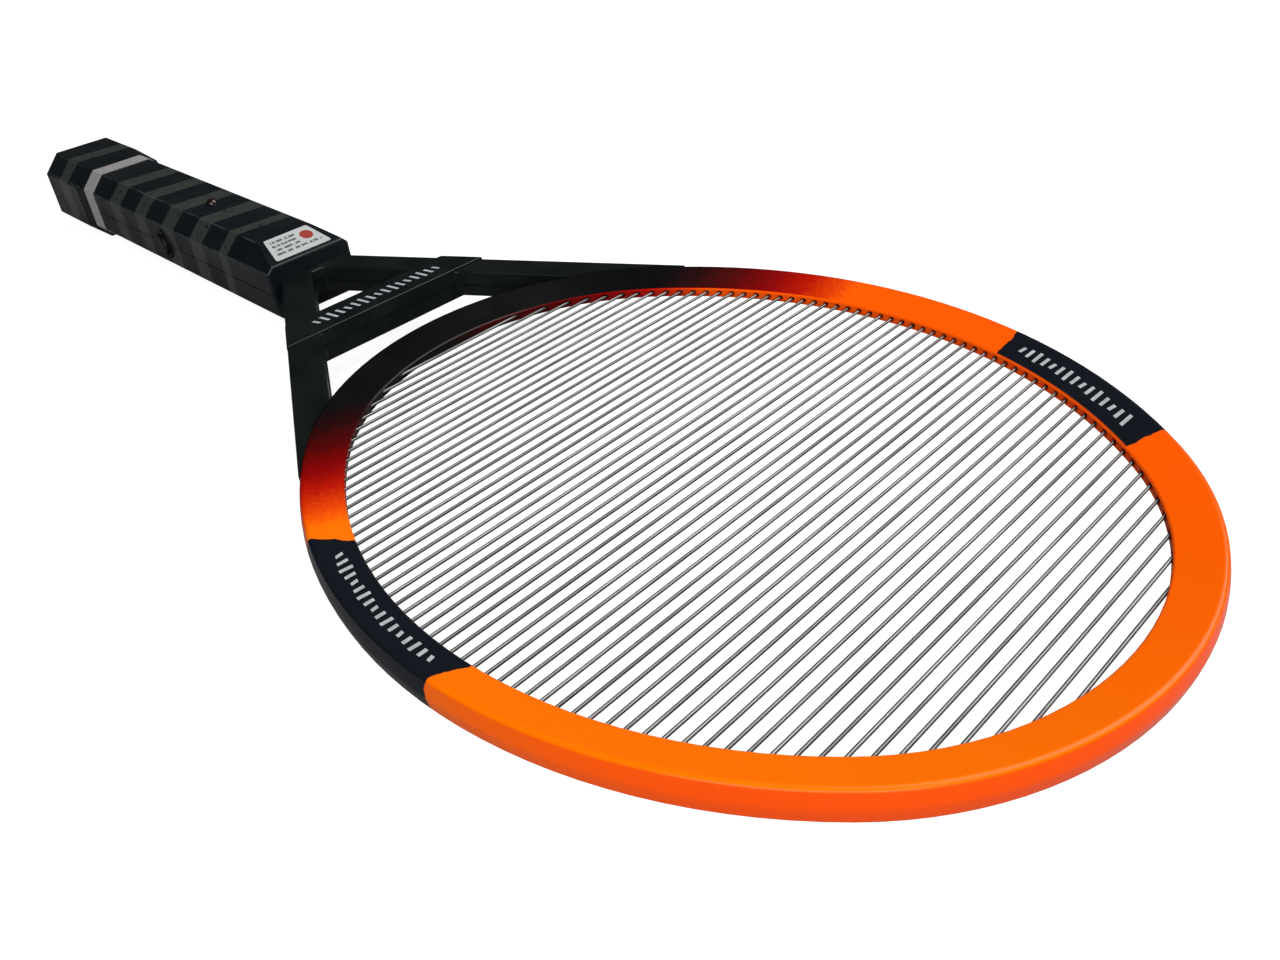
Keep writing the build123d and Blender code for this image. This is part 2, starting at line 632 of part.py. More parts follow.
def sticker():
    """Plain paper sticker on the slope at the front of the handle's top."""
    slope = math.atan2(BEVEL_DROP, BEVEL_LENGTH)
    length = BEVEL_LENGTH / math.cos(slope)
    plane = Plane(
        origin=(HANDLE_FRONT - BEVEL_LENGTH, 0, HALF_HEIGHT),
        x_dir=(math.cos(slope), 0, -math.sin(slope)),
        z_dir=(math.sin(slope), 0, math.cos(slope)),
    )
    outline = make_face(Polyline(
        (0.4, 9.6), (length - 1.9, 12.4), (length - 1.9, -12.4), (0.4, -9.6), close=True))
    outline = fillet(outline.vertices(), 0.8)
    return extrude(plane * outline, STICKER_THICK)


def main():
    """Build every piece and write it."""
    rim_top = hoop_half(True)
    rim_bottom = hoop_half(False)
    full_rim = around_oval(rim_profile())
    full_rim = full_rim + mirror(full_rim, Plane.XY)
    holes = wire_rods(WIRE_HOLE, WIRE_JOINED_END, WIRE_JOINED_END)
    slots = [arm_channel(side)[0] for side in (1, -1)]
    eyelets = wire_rods(EYELET, EYELET_DEPTH, EYELET_DEPTH)
    save("hoop_top_shell", rim_top - holes - slots - eyelets)
    save("hoop_bottom_shell", rim_bottom - holes - slots - eyelets)
    save("live_wires", Compound(children=wire_rods(WIRE_DIAMETER, WIRE_JOINED_END, WIRE_FREE_END, 1)))
    save("earth_wires", Compound(children=wire_rods(WIRE_DIAMETER, WIRE_FREE_END, WIRE_JOINED_END, 0)))
    save("live_bus_strip", bus_strip(True))
    save("earth_bus_strip", bus_strip(False))
    save("live_lead", arm_lead(1))
    save("earth_lead", arm_lead(-1))

    block = throat_body(full_rim)
    save("throat_top_shell", throat_half(block, True))
    save("throat_bottom_shell", throat_half(block, False))
    seat = -SHOULDER_HALF - BAR_RISE + SCREW_HEAD_HEIGHT
    save("throat_screws", Compound(children=[screw(x, y, seat, 3.6) for x, y in BAR_SCREW_SPOTS]))

    body, hollow = handle_block(), handle_hollow()
    save("handle_top_shell", handle_half(body, hollow, True))
    save("handle_bottom_shell", handle_half(body, hollow, False))
    seat = -HALF_HEIGHT + 1.2 + SCREW_HEAD_HEIGHT
    save("handle_screws", Compound(children=[screw(x, y, seat, 8.0) for x, y in SCREW_SPOTS]))
    save("silver_band", silver_band())
    save("sticker", sticker())

    save("end_cap", end_cap())
    plate_x = BUTT + CAP_END_WALL
    save("cap_contact_plate", rod_x(plate_x, plate_x + PLATE_THICK, 0, 0, 8.0))
    save("cap_spring", cap_spring())
    save("rear_cell", battery_cell(CELL_BACK))
    save("front_cell", battery_cell(CELL_BACK + CELL_LENGTH))
    save("front_contact", box_between(CELL_FRONT + 0.1, CELL_FRONT + 0.6, -6, 6, BOARD_TOP, 6.5))
    save("rear_contact", box_between(NECK_BACK + 0.4, NECK_BACK + 0.9, -11.8, -9.6, -11.8, -9.8))
    save("cell_lead", cell_lead())

    save("circuit_board", circuit_board())
    save("transformer_core", transformer_core())
    save("transformer_coil", transformer_coil())
    save("storage_capacitor", storage_capacitor())
    save("multiplier_capacitors", Compound(children=multiplier_capacitors()))
    diodes = [axial_part(CAPACITOR_X, y, 3.4, 1.3) for y in (-9.3, 9.3)]
    save("rectifier_diodes", Compound(children=diodes))
    resistors = [axial_part(RESISTOR_X + step * 3.2, -6.5, 5.6, 1.0) for step in range(3)]
    save("resistors", Compound(children=resistors))
    save("transistor", transistor())
    save("status_light", status_light())
    save("switch_body", switch_body())
    save("switch_plunger", switch_plunger())
    save("push_button", push_button())
    save("button_bezel", button_bezel())


main()
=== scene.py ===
# %% [markdown]
# # An electric fly swatter, dressed for its picture
# The racket's shapes, sizes and moving parts are finished before this file starts: they come in as
# a fixed frame of separate pieces. What is left is what a finisher does on the real thing: the
# airbrushed paint on the hoop, the printed bands, the striped grip, the sticker, and the light.
# One way is to paint image textures. Here every finish is worked out from the place of the surface,
# because the paint on the real racket also follows its shape: it fades along the length.

# %% Load the fixed frame
import math

import bpy
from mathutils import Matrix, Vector


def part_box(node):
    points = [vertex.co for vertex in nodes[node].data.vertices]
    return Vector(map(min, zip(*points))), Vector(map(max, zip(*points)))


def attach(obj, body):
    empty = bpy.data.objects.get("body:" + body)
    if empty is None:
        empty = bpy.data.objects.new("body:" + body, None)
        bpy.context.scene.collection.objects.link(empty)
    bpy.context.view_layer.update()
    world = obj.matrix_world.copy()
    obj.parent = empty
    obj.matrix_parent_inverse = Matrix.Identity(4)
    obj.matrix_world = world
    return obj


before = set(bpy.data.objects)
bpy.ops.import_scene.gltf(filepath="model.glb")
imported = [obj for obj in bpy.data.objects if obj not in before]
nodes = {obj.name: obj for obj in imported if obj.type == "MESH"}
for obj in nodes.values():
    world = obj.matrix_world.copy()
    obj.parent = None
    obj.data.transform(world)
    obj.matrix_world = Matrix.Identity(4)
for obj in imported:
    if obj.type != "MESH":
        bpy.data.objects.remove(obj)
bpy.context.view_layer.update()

MM = 0.001
print("pieces in the frame:", len(nodes))

# %% [markdown]
# ## The camera
# A wide lens held close makes the hoop loom and the handle shrink, which gives a racket its speed.
# A target constraint would aim the camera, but it can't give the slight roll that the view has, so
# the three turns are set directly.

# %% Camera
CAMERA_PLACE = (0.3098, -0.1944, 0.1986)
CAMERA_TURN = (54.386, 4.564, 43.534)
LENS = 31.74
NEAREST_SEEN = 0.01

camera_data = bpy.data.cameras.new("camera")
camera_data.lens = LENS
camera_data.clip_start = NEAREST_SEEN
camera = bpy.data.objects.new("camera", camera_data)
camera.location = CAMERA_PLACE
camera.rotation_euler = [math.radians(turn) for turn in CAMERA_TURN]
bpy.context.scene.collection.objects.link(camera)
bpy.context.scene.camera = camera
bpy.context.scene.view_settings.view_transform = "Standard"
print("camera looks along", [round(c, 2) for c in camera.rotation_euler.to_matrix() @ Vector((0, 0, -1))])

# %% [markdown]
# ## Measures that the finishes share
# The opening of the hoop is an oval of four arcs: two long flat ones at the sides and two tighter
# ones at the ends. The printed marks run along it, so its arcs are worked out once here, from the
# box of the hoop's own shell and the end radius that a drawing of the hoop would give.

# %% The hoop's oval
hoop_low, hoop_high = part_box("hoop_top_shell")
MIDDLE_Z = hoop_low.z                                # the plane where upper and lower shells meet
RIM_WIDTH = 12.5 * MM
LIP_HALF = 1.6 * MM
FACE_RISE = 0.337                                    # how fast the rim's face climbs outward
FACE_INSET = 0.4 * MM                                # the face starts this far out from the opening
END_RADIUS = 85.0 * MM
hoop_x = (hoop_low.x + hoop_high.x) / 2
half_length = (hoop_high.x - hoop_low.x) / 2 - RIM_WIDTH
half_width = (hoop_high.y - hoop_low.y) / 2 - RIM_WIDTH
end_centre = half_length - END_RADIUS
side_radius = (half_length**2 + half_width**2 - 2 * half_length * END_RADIUS) / (
    2 * (half_width - END_RADIUS))
side_centre = side_radius - half_width
print("opening", round(2 * half_length, 4), "by", round(2 * half_width, 4))
print("side radius", round(side_radius, 3))


def oval_half_width(x, outward):
    """Half width at x, from the hoop's middle, of the opening grown outward."""
    split = end_centre + (END_RADIUS + outward) * end_centre / math.hypot(end_centre, side_centre)
    if abs(x) > split:
        return math.sqrt((END_RADIUS + outward) ** 2 - (abs(x) - end_centre) ** 2)
    return math.sqrt((side_radius + outward) ** 2 - x * x) - side_centre


# %% [markdown]
# ## Small helpers for shader trees
# A shader tree is a sum of little steps. Writing each step as one call keeps a finish readable:
# `calc` adds a Math node, and takes numbers or other nodes' outputs alike.

# %% Shader helpers
def feed(tree, socket, value):
    """Give a socket a number or colour, or link another node's output to it."""
    if isinstance(value, bpy.types.NodeSocket):
        tree.links.new(value, socket)
    else:
        socket.default_value = value


def calc(tree, operation, *values):
    """One Math node; returns its output."""
    node = tree.nodes.new("ShaderNodeMath")
    node.operation = operation
    for socket, value in zip(node.inputs, values):
        feed(tree, socket, value)
    return node.outputs[0]


def step_between(tree, value, low, high):
    """0 below low, 1 above high, and a smooth climb between them."""
    node = tree.nodes.new("ShaderNodeMapRange")
    node.interpolation_type = "SMOOTHSTEP"
    feed(tree, node.inputs["Value"], value)
    feed(tree, node.inputs["From Min"], low)
    feed(tree, node.inputs["From Max"], high)
    return node.outputs["Result"]


def mix_colour(tree, share, first, second):
    """Blend two colours by a mask."""
    node = tree.nodes.new("ShaderNodeMix")
    node.data_type = "RGBA"
    feed(tree, node.inputs["Factor"], share)
    feed(tree, node.inputs["A"], first)
    feed(tree, node.inputs["B"], second)
    return node.outputs["Result"]


def noise(tree, position, scale, detail=2.0):
    """A cloud of values round one half."""
    node = tree.nodes.new("ShaderNodeTexNoise")
    feed(tree, node.inputs["Vector"], position)
    feed(tree, node.inputs["Scale"], scale)
    node.inputs["Detail"].default_value = detail
    return node.outputs["Fac"]


def place_of(tree):
    """The surface's position in the racket's frame, whole and as X, Y and Z."""
    coordinates = tree.nodes.new("ShaderNodeTexCoord")
    split = tree.nodes.new("ShaderNodeSeparateXYZ")
    tree.links.new(coordinates.outputs["Object"], split.inputs[0])
    return coordinates.outputs["Object"], split.outputs["X"], split.outputs["Y"], split.outputs["Z"]


def new_group(name, inputs, outputs):
    """An empty node group with named sockets; returns the tree, its input and its output node."""
    tree = bpy.data.node_groups.new(name, "ShaderNodeTree")
    for socket_name, kind, value in inputs:
        socket = tree.interface.new_socket(socket_name, in_out="INPUT", socket_type=kind)
        if value is not None:
            socket.default_value = value
    for socket_name, kind in outputs:
        tree.interface.new_socket(socket_name, in_out="OUTPUT", socket_type=kind)
    return tree, tree.nodes.new("NodeGroupInput"), tree.nodes.new("NodeGroupOutput")


def use_group(tree, group, **values):
    """Place a group in a tree; underscores in the names stand for spaces."""
    node = tree.nodes.new("ShaderNodeGroup")
    node.node_tree = group
    for key, value in values.items():
        feed(tree, node.inputs[key.replace("_", " ")], value)
    return node


NUMBER, VECTOR = "NodeSocketFloat", "NodeSocketVector"
print("shader helpers are ready")

# %% [markdown]
# ## Effect: the skin of moulded plastic
# Glossy plastic is never a perfect mirror. Its skin has a faint ripple from the mould, and hands
# leave dull patches. A scanned thumb mark would do it, but would repeat; two clouds of noise, one
# fine for the ripple and one broad for the dull patches, never do.

# %% Group: moulded skin
skin, skin_in, skin_out = new_group(
    "moulded_skin",
    [("Position", VECTOR, None), ("Roughness", NUMBER, 0.25), ("Smudge", NUMBER, 0.1),
     ("Ripple Scale", NUMBER, 900.0)],
    [("Roughness", NUMBER), ("Height", NUMBER)])
broad = noise(skin, skin_in.outputs["Position"], 38.0, 4.0)
patches = step_between(skin, broad, 0.42, 0.68)
dulling = calc(skin, "MULTIPLY", patches, skin_in.outputs["Smudge"])
skin.links.new(calc(skin, "ADD", skin_in.outputs["Roughness"], dulling), skin_out.inputs["Roughness"])
ripple = noise(skin, skin_in.outputs["Position"], skin_in.outputs["Ripple Scale"], 3.0)
skin.links.new(ripple, skin_out.inputs["Height"])
print("group", skin.name, "puts out", [s.name for s in skin_out.inputs if s.name])

# %% [markdown]
# ## Effect: a stripe round the racket
# The grip's stripes, the cap's stripe and the colour bands of the small parts on the board are all
# the same thing: a band of surface between two planes. The planes may lean, as the grip's do.

# %% Group: stripe
stripe, stripe_in, stripe_out = new_group(
    "stripe",
    [("Along", NUMBER, 0.0), ("Across", NUMBER, 0.0), ("Lean", NUMBER, 0.0),
     ("Centre", NUMBER, 0.0), ("Half Width", NUMBER, 0.005), ("Softness", NUMBER, 0.0004)],
    [("Mask", NUMBER)])
leant = calc(stripe, "MULTIPLY", stripe_in.outputs["Across"], stripe_in.outputs["Lean"])
straight = calc(stripe, "SUBTRACT", stripe_in.outputs["Along"], leant)
distance = calc(stripe, "ABSOLUTE", calc(stripe, "SUBTRACT", straight, stripe_in.outputs["Centre"]))
inside = calc(stripe, "SUBTRACT", stripe_in.outputs["Half Width"], distance)
soft = stripe_in.outputs["Softness"]
stripe.links.new(step_between(stripe, inside, calc(stripe, "MULTIPLY", soft, -1.0), soft),
                 stripe_out.inputs["Mask"])
print("group", stripe.name, "takes", [s.name for s in stripe_in.outputs if s.name])

# %% [markdown]
# ## Effect: the end of a printed band
# The black bands on the hoop end along a line drawn straight across the rim. Pad printing never
# stops on a perfect line, so a little noise makes the edge wander by a fraction of a millimetre.

# %% Group: print edge
print_edge, edge_in, edge_out = new_group(
    "print_edge",
    [("Position", VECTOR, None), ("X", NUMBER, 0.0), ("Y", NUMBER, 0.0), ("Point X", NUMBER, 0.0),
     ("Point Y", NUMBER, 0.0), ("Angle", NUMBER, 0.0), ("Wander", NUMBER, 0.0006)],
    [("Mask", NUMBER)])
along_x = calc(print_edge, "MULTIPLY",
               calc(print_edge, "SUBTRACT", edge_in.outputs["X"], edge_in.outputs["Point X"]),
               calc(print_edge, "COSINE", edge_in.outputs["Angle"]))
along_y = calc(print_edge, "MULTIPLY",
               calc(print_edge, "SUBTRACT", edge_in.outputs["Y"], edge_in.outputs["Point Y"]),
               calc(print_edge, "SINE", edge_in.outputs["Angle"]))
wander = calc(print_edge, "MULTIPLY",
              calc(print_edge, "SUBTRACT", noise(print_edge, edge_in.outputs["Position"], 260.0, 2.0), 0.5),
              calc(print_edge, "MULTIPLY", edge_in.outputs["Wander"], 4.0))
beyond = calc(print_edge, "ADD", calc(print_edge, "ADD", along_x, along_y), wander)
EDGE_BLUR = 0.15 * MM
print_edge.links.new(step_between(print_edge, beyond, -EDGE_BLUR, EDGE_BLUR), edge_out.inputs["Mask"])
print("group", print_edge.name, "takes", [s.name for s in edge_in.outputs if s.name])

# %% [markdown]
# ## Effect: a painted highlight on the edges
# Where two flats of the grip meet, the corner catches the light as a thin pale line, and this
# painted highlight stands in for it. The corners run straight along the racket, so their distance
# is a short sum in the cross-section, and noise breaks the line up.

# %% Group: painted edge highlight
painted_edge, painted_edge_in, painted_edge_out = new_group(
    "painted_edge_highlight",
    [("Position", VECTOR, None), ("Across", NUMBER, 0.0), ("Up", NUMBER, 0.0),
     ("Corner Across", NUMBER, 0.01), ("Corner Up", NUMBER, 0.01), ("Reach", NUMBER, 0.0007)],
    [("Mask", NUMBER)])
gap_across = calc(painted_edge, "SUBTRACT", calc(painted_edge, "ABSOLUTE", painted_edge_in.outputs["Across"]),
                  painted_edge_in.outputs["Corner Across"])
gap_up = calc(painted_edge, "SUBTRACT", calc(painted_edge, "ABSOLUTE", painted_edge_in.outputs["Up"]),
              painted_edge_in.outputs["Corner Up"])
away = calc(painted_edge, "SQRT", calc(painted_edge, "ADD", calc(painted_edge, "MULTIPLY", gap_across, gap_across),
                                 calc(painted_edge, "MULTIPLY", gap_up, gap_up)))
near_corner = calc(painted_edge, "SUBTRACT", 1.0,
                   step_between(painted_edge, away, 0.0, painted_edge_in.outputs["Reach"]))
broken = step_between(painted_edge, noise(painted_edge, painted_edge_in.outputs["Position"], 160.0, 4.0), 0.3, 0.6)
painted_edge.links.new(calc(painted_edge, "MULTIPLY", near_corner, broken), painted_edge_out.inputs["Mask"])
print("group", painted_edge.name, "takes", [s.name for s in painted_edge_in.outputs if s.name])

# %% [markdown]
# ## Starting a material
# Every material begins the same way: a Principled shader, the surface's position, the moulded skin
# for its roughness and a Bump node for its ripple. What differs is the colour and a few numbers.

# %% Material starter
COAT_ROUGHNESS = 0.08
RIPPLE_DEPTH = 0.12 * MM


def start_material(name, roughness, smudge, bump, metallic=0.0, coat=0.0, ripple_scale=900.0,
                   specular=0.5):
    """A material with moulded skin; returns it, its tree, its shader and the position sockets."""
    material = bpy.data.materials.new(name)
    material.use_nodes = True
    tree = material.node_tree
    shader = tree.nodes["Principled BSDF"]
    shader.inputs["Metallic"].default_value = metallic
    shader.inputs["Coat Weight"].default_value = coat
    shader.inputs["Coat Roughness"].default_value = COAT_ROUGHNESS
    shader.inputs["Specular IOR Level"].default_value = specular
    spot = place_of(tree)
    surface = use_group(tree, skin, Position=spot[0], Roughness=roughness, Smudge=smudge,
                        Ripple_Scale=ripple_scale)
    tree.links.new(surface.outputs["Roughness"], shader.inputs["Roughness"])
    relief = tree.nodes.new("ShaderNodeBump")
    relief.inputs["Strength"].default_value = bump
    relief.inputs["Distance"].default_value = RIPPLE_DEPTH
    tree.links.new(surface.outputs["Height"], relief.inputs["Height"])
    tree.links.new(relief.outputs["Normal"], shader.inputs["Normal"])
    return material, tree, shader, spot


def dress(material, *names):
    """Put a material on CAD pieces, in place of their plain one."""
    for name in names:
        mesh = nodes[name].data
        mesh.materials.clear()
        mesh.materials.append(material)
    print(material.name, "on", ", ".join(names))


print("ripple of the moulded skin:", round(RIPPLE_DEPTH / MM, 2), "mm deep at full strength")

# %% [markdown]
# ## Airbrushed paint on the hoop
# The hoop is sprayed orange. Toward the throat the paint fades through red and maroon to black, and
# the fade starts further forward on the far side than on the near one. A Color Ramp is the natural
# tool: its stops are the fade's own colours, and it is read along the length of the racket.

# %% The fade along the hoop
ORANGE = (0.97, 0.165, 0.0, 1)
FADE = [
    (0.00, (0.003, 0.003, 0.004, 1)), (0.16, (0.020, 0.002, 0.002, 1)), (0.33, (0.080, 0.001, 0.001, 1)),
    (0.52, (0.23, 0.001, 0.001, 1)), (0.68, (0.45, 0.008, 0.001, 1)), (0.85, (0.76, 0.055, 0.001, 1)),
    (1.00, ORANGE)]
FAR_FADE = (0.048, 0.116)                            # where it turns black, and where orange starts
NEAR_FADE = (0.026, 0.076)
LIP_LEAD = 0.045                                     # orange starts this much sooner on the far lip
LIP_BLEND = (-0.05 * MM, 0.15 * MM)                  # the lip turns into the face over this
SIDE_BLEND = 20 * MM                                 # the near fade turns into the far one over this
SPRAY_GRAIN, SPRAY_SPREAD = 700.0, 8 * MM

hoop_paint, tree, shader, (spot, x, y, z) = start_material(
    "hoop_paint", 0.22, 0.10, 0.10, coat=0.11, specular=0.09)
side = step_between(tree, y, -SIDE_BLEND, SIDE_BLEND)
fade_start = calc(tree, "ADD", NEAR_FADE[0], calc(tree, "MULTIPLY", side, FAR_FADE[0] - NEAR_FADE[0]))
fade_end = calc(tree, "ADD", NEAR_FADE[1], calc(tree, "MULTIPLY", side, FAR_FADE[1] - NEAR_FADE[1]))
grain = calc(tree, "SUBTRACT", noise(tree, spot, SPRAY_GRAIN, 3.0), 0.5)
spray = calc(tree, "MULTIPLY", grain, SPRAY_SPREAD)
height = calc(tree, "ABSOLUTE", calc(tree, "SUBTRACT", z, MIDDLE_Z))
above_lip = step_between(tree, height, LIP_HALF + LIP_BLEND[0], LIP_HALF + LIP_BLEND[1])
far_lip = calc(tree, "MULTIPLY", calc(tree, "SUBTRACT", 1.0, above_lip), side)
lip_lead = calc(tree, "MULTIPLY", far_lip, LIP_LEAD)
sprayed_place = calc(tree, "ADD", calc(tree, "ADD", x, spray), lip_lead)
fade_place = tree.nodes.new("ShaderNodeMapRange")
feed(tree, fade_place.inputs["Value"], sprayed_place)
feed(tree, fade_place.inputs["From Min"], fade_start)
feed(tree, fade_place.inputs["From Max"], fade_end)
ramp = tree.nodes.new("ShaderNodeValToRGB")
for index, (place, colour) in enumerate(FADE):
    stop = ramp.color_ramp.elements[index] if index < 2 else ramp.color_ramp.elements.new(place)
    stop.position = place
    stop.color = colour
tree.links.new(fade_place.outputs["Result"], ramp.inputs[0])
print("the fade has", len(ramp.color_ramp.elements), "stops")

# %% [markdown]
# The orange isn't one orange. It is redder along the far side. On the outer wall near the tip the
# deeper red is painted shade: that wall is darker than the face because of how the light falls. The
# wall is told from the face by its normal, which lies level there, and both redder shares are mixed over
# the ramp.

# %% Redder orange on the far side, painted shade on the wall
FAR_ORANGE = (0.95, 0.100, 0.0, 1)
# painted shade: the outer wall's darker, redder orange stands in for the light that it misses
WALL_SHADE_ORANGE = (1.0, 0.085, 0.0, 1)
WALL_FACING = (0.25, 0.85)                           # upright part of the normal: all wall, all face
TIP_REACH = (0.10, 0.22)                             # the wall's red starts, and is full
FAR_REACH = 80 * MM

facing = tree.nodes.new("ShaderNodeSeparateXYZ")
tree.links.new(tree.nodes["Texture Coordinate"].outputs["Normal"], facing.inputs[0])
upright = calc(tree, "ABSOLUTE", facing.outputs["Z"])
on_wall = calc(tree, "SUBTRACT", 1.0, step_between(tree, upright, *WALL_FACING))
wall_shade_share = calc(tree, "MULTIPLY", on_wall, step_between(tree, x, *TIP_REACH))
beyond_fade = step_between(tree, fade_place.outputs["Result"], 0.8, 1.0)
far_share = calc(tree, "MULTIPLY", step_between(tree, y, -FAR_REACH, FAR_REACH), beyond_fade)
hoop_colour = mix_colour(tree, far_share, ramp.outputs["Color"], FAR_ORANGE)
# the wall's share is painted shade, mixed over the paint
hoop_colour = mix_colour(tree, wall_shade_share, hoop_colour, WALL_SHADE_ORANGE)
print("mixed over the fade: far orange", FAR_ORANGE[:3], "wall orange", WALL_SHADE_ORANGE[:3])

# %% [markdown]
# Two black bands are printed over the paint. Each is what lies between two edge lines, so it is the
# product of two edge masks. An edge line is given as a maker would mark it out: how far along the
# hoop it crosses the middle of the rim, and which way it faces. On the far side the print stops at
# the lip, which stays orange.

# %% Black bands
PRINT_BLACK = (0.0065, 0.0080, 0.0120, 1)
BANDS = {                                            # side, then each end's place and facing
    "far": (1, ((32.7 * MM, -5), (87.7 * MM, 146))),
    "near": (-1, ((-55.4 * MM, -33), (7.7 * MM, 173))),
}

band_masks = {}
for band, (band_side, ends) in BANDS.items():
    masks = []
    for along, facing_turn in ends:
        across = band_side * oval_half_width(along, RIM_WIDTH / 2)
        edge = use_group(tree, print_edge, Position=spot, X=x, Y=y, Point_X=hoop_x + along,
                         Point_Y=across, Angle=math.radians(facing_turn))
        masks.append(edge.outputs["Mask"])
        print(band, "band ends at", [round(hoop_x + along, 4), round(across, 4)])
    band_masks[band] = calc(tree, "MULTIPLY", *masks)
far_half = calc(tree, "GREATER_THAN", y, 0.0)
far_print = calc(tree, "MULTIPLY", calc(tree, "MULTIPLY", band_masks["far"], far_half), above_lip)
near_print = calc(tree, "MULTIPLY", band_masks["near"], calc(tree, "SUBTRACT", 1.0, far_half))
printed = calc(tree, "MAXIMUM", far_print, near_print)
tree.links.new(mix_colour(tree, printed, hoop_colour, PRINT_BLACK), shader.inputs["Base Color"])
dress(hoop_paint, "hoop_top_shell", "hoop_bottom_shell")

# %% [markdown]
# ## The throat
# The fork between hoop and handle is the same glossy black plastic with no paint on it, very
# slightly green. It needs only the moulded skin and a faint mottling of its colour.

# %% Throat plastic
THROAT_BLACK = (0.0035, 0.0050, 0.0050, 1)
THROAT_BLACK_DULL = (0.0065, 0.0095, 0.0090, 1)

throat_plastic, tree, shader, (spot, *_) = start_material(
    "throat_plastic", 0.26, 0.14, 0.12, specular=0.22)
mottle = step_between(tree, noise(tree, spot, 55.0, 4.0), 0.35, 0.7)
tree.links.new(mix_colour(tree, mottle, THROAT_BLACK, THROAT_BLACK_DULL), shader.inputs["Base Color"])
dress(throat_plastic, "throat_top_shell", "throat_bottom_shell")

# %% [markdown]
# ## The grip and its stripes
# The handle is black with grey-green stripes foiled round all eight flats, leaning a few degrees.
# The stripes could be separate rings, but foil has no thickness to feel, so they are masks in the
# paint, and noise wears them thin here and there.

# %% Grip plastic with stripes
GRIP_BLACK = (0.0035, 0.0055, 0.0080, 1)
GRIP_BLACK_DULL = (0.0070, 0.0095, 0.0100, 1)
FOIL_GREY = (0.040, 0.046, 0.040, 1)
# painted highlight on the grip's corners, a pale line where the light catches them
PAINTED_HIGHLIGHT_GREY = (0.060, 0.072, 0.074, 1)
STRIPE_LEAN = 0.105
GRIP_STRIPES = [(-0.197, 0.005), (-0.173, 0.005), (-0.148, 0.005), (-0.124, 0.005), (-0.102, 0.003)]
CAP_STRIPE = (-0.246, 0.0045)
CAP_PROUD = 1.2 * MM
FLAT_HALF, SIDE_HALF, CHAMFER = 11.55 * MM, 8.6 * MM, 6.8 * MM


def striped_plastic(name, stripes, grow):
    """Black plastic with foil stripes and a painted highlight on its corners; grow is how far out its
    corners sit.
    """
    material, tree, shader, (spot, x, y, z) = start_material(
        name, 0.27, 0.16, 0.22, specular=0.25)
    up = calc(tree, "SUBTRACT", z, MIDDLE_Z)
    foil = 0.0
    for centre, half in stripes:
        one = use_group(tree, stripe, Along=x, Across=y, Lean=STRIPE_LEAN, Centre=centre,
                        Half_Width=half).outputs["Mask"]
        foil = calc(tree, "MAXIMUM", foil, one)
    worn = calc(tree, "MULTIPLY", foil, step_between(tree, noise(tree, spot, 420.0, 5.0), 0.22, 0.46))
    corners = 0.0
    for across, corner_up in ((FLAT_HALF, SIDE_HALF + CHAMFER), (FLAT_HALF + CHAMFER, SIDE_HALF)):
        one = use_group(tree, painted_edge, Position=spot, Across=y, Up=up, Corner_Across=across + grow,
                        Corner_Up=corner_up + grow).outputs["Mask"]
        corners = calc(tree, "MAXIMUM", corners, one)
    dull = step_between(tree, noise(tree, spot, 70.0, 5.0), 0.35, 0.75)
    colour = mix_colour(tree, dull, GRIP_BLACK, GRIP_BLACK_DULL)
    colour = mix_colour(tree, calc(tree, "MULTIPLY", worn, 0.9), colour, FOIL_GREY)
    # the corners' pale line is a painted highlight
    colour = mix_colour(tree, calc(tree, "MULTIPLY", corners, 0.6), colour, PAINTED_HIGHLIGHT_GREY)
    tree.links.new(colour, shader.inputs["Base Color"])
    return material


dress(striped_plastic("grip_plastic", GRIP_STRIPES, 0.0), "handle_top_shell", "handle_bottom_shell")
dress(striped_plastic("cap_plastic", [CAP_STRIPE], CAP_PROUD), "end_cap")

# %% [markdown]
# ## The silver band
# The ring between grip and cap is plastic with a silver paint, so it is only partly metallic, and
# fine flakes in the paint break its shine.

# %% Silver paint
SILVER_SHADE = (0.40, 0.385, 0.38, 1)
SILVER_FLAKE = (0.62, 0.60, 0.59, 1)

silver_paint, tree, shader, (spot, *_) = start_material(
    "silver_paint", 0.36, 0.10, 0.25, metallic=0.35, ripple_scale=1800.0)
flakes = step_between(tree, noise(tree, spot, 2600.0, 2.0), 0.35, 0.7)
tree.links.new(mix_colour(tree, flakes, SILVER_SHADE, SILVER_FLAKE), shader.inputs["Base Color"])
dress(silver_paint, "silver_band")

# %% [markdown]
# ## The sticker
# A pale paper sticker sits on the slope at the front of the grip. Whatever the real one says, here
# it carries only plain grey bars and a red disc. Each could be a slip of its own, but they are too
# small to feel: rows of bars are stripes in one direction, cut into lengths by noise in the other.

# %% Bars on the sticker
ROWS_MM = ((-8.4, 2.5), (-9.0, 1.5), (-9.6, 1.8), (-10.4, 10.0))      # where each row starts and ends
FIRST_ROW = 1.1                                      # in row gaps from the sticker's upper edge
BAR_HALF = 0.26                                      # half a bar's height, in row gaps
sticker_low, sticker_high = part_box("sticker")
row_gap = (sticker_high.x - sticker_low.x) / 5.4
sticker_paper, tree, shader, (spot, x, y, _) = start_material("sticker_paper", 0.42, 0.08, 0.10)

